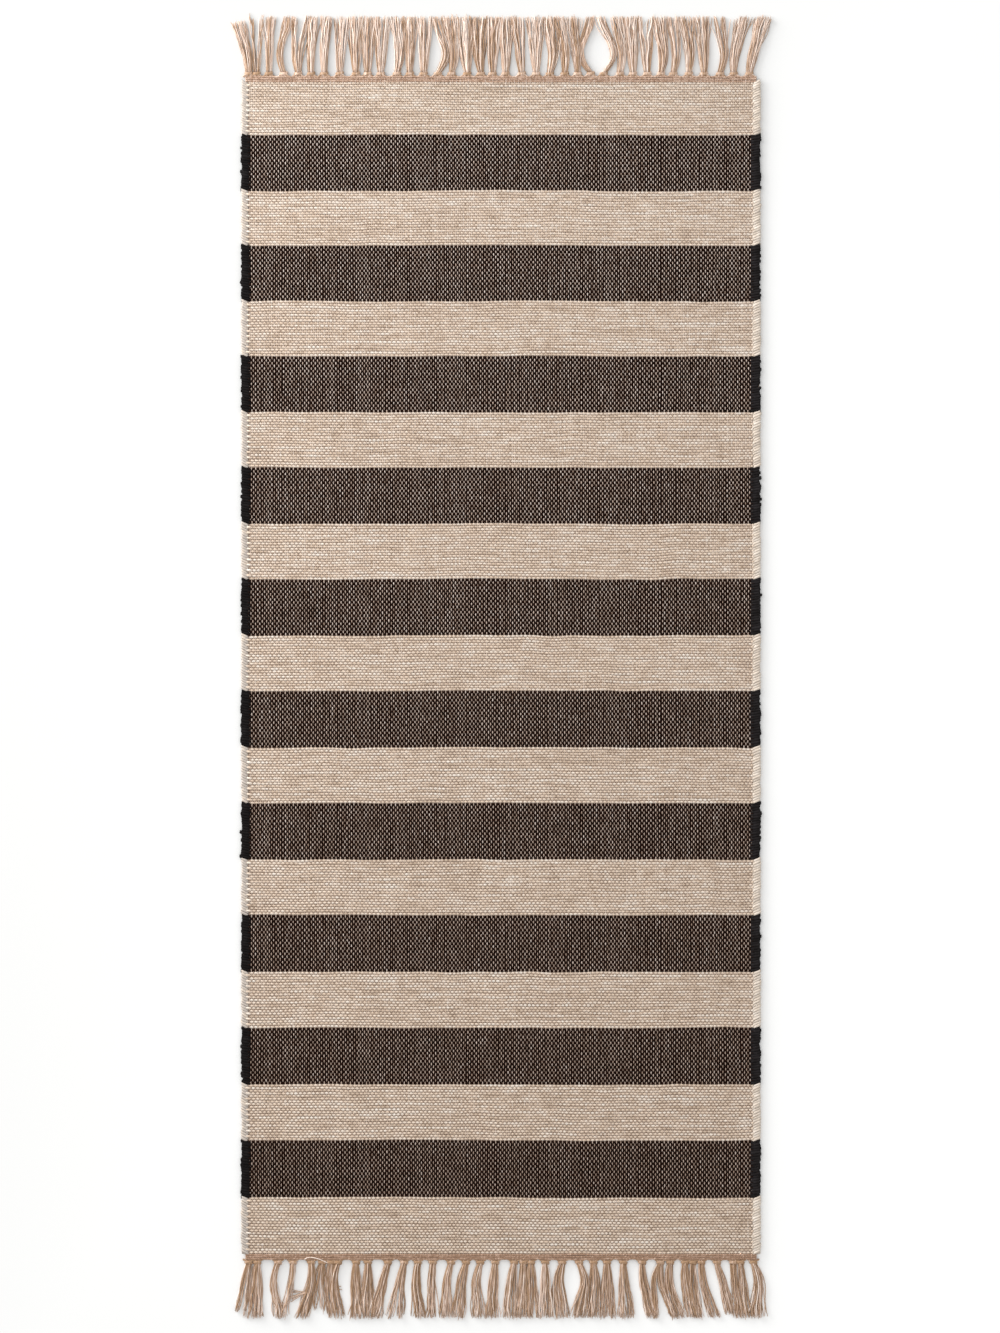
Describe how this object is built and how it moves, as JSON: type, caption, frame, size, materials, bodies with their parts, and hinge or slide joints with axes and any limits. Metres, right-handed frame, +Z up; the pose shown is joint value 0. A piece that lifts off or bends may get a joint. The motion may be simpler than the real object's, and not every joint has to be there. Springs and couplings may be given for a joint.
{
  "type": "runner rug",
  "caption": "Long flat-woven floor runner with alternating off-white and black cross bands, wrapped side edges and knotted tan tassels at both ends.",
  "frame": {"origin": "centre of the underside, midway along the whole length with the fringe, on the surface that the rug lies on", "axes": "+Y along the length towards the far end, +X across the width to the right, +Z up out of the walking face"},
  "size_m": [0.8, 2, 0.0054],
  "materials": {
    "off_white_weft": "matte soft-spun wool and cotton yarn, off-white",
    "black_weft": "matte soft-spun wool and cotton yarn, brown-black",
    "tan_warp": "matte fine twisted yarn, natural tan"
  },
  "bodies": {
    "far_half": {"light_band_01": "off_white_weft", "dark_band_01": "black_weft", "light_band_02": "off_white_weft", "dark_band_02": "black_weft", "light_band_03": "off_white_weft", "dark_band_03": "black_weft", "light_band_04": "off_white_weft", "dark_band_04": "black_weft", "light_band_05": "off_white_weft", "dark_band_05": "black_weft", "light_band_06": "off_white_weft", "warp_far": "tan_warp", "edge_cord_far_left": "tan_warp", "edge_cord_far_right": "tan_warp", "header_far": "tan_warp"},
    "near_half": {"dark_band_06": "black_weft", "light_band_07": "off_white_weft", "dark_band_07": "black_weft", "light_band_08": "off_white_weft", "dark_band_08": "black_weft", "light_band_09": "off_white_weft", "dark_band_09": "black_weft", "light_band_10": "off_white_weft", "dark_band_10": "black_weft", "light_band_11": "off_white_weft", "warp_near": "tan_warp", "edge_cord_near_left": "tan_warp", "edge_cord_near_right": "tan_warp", "header_near": "tan_warp"}
  },
  "joints": [
    {"name": "fold", "type": "hinge", "parent": "far_half", "child": "near_half", "pos_m": [0, -0.043, 0.00555], "axis": [-1, 0, 0], "range_deg": [0, 180]}
  ]
}
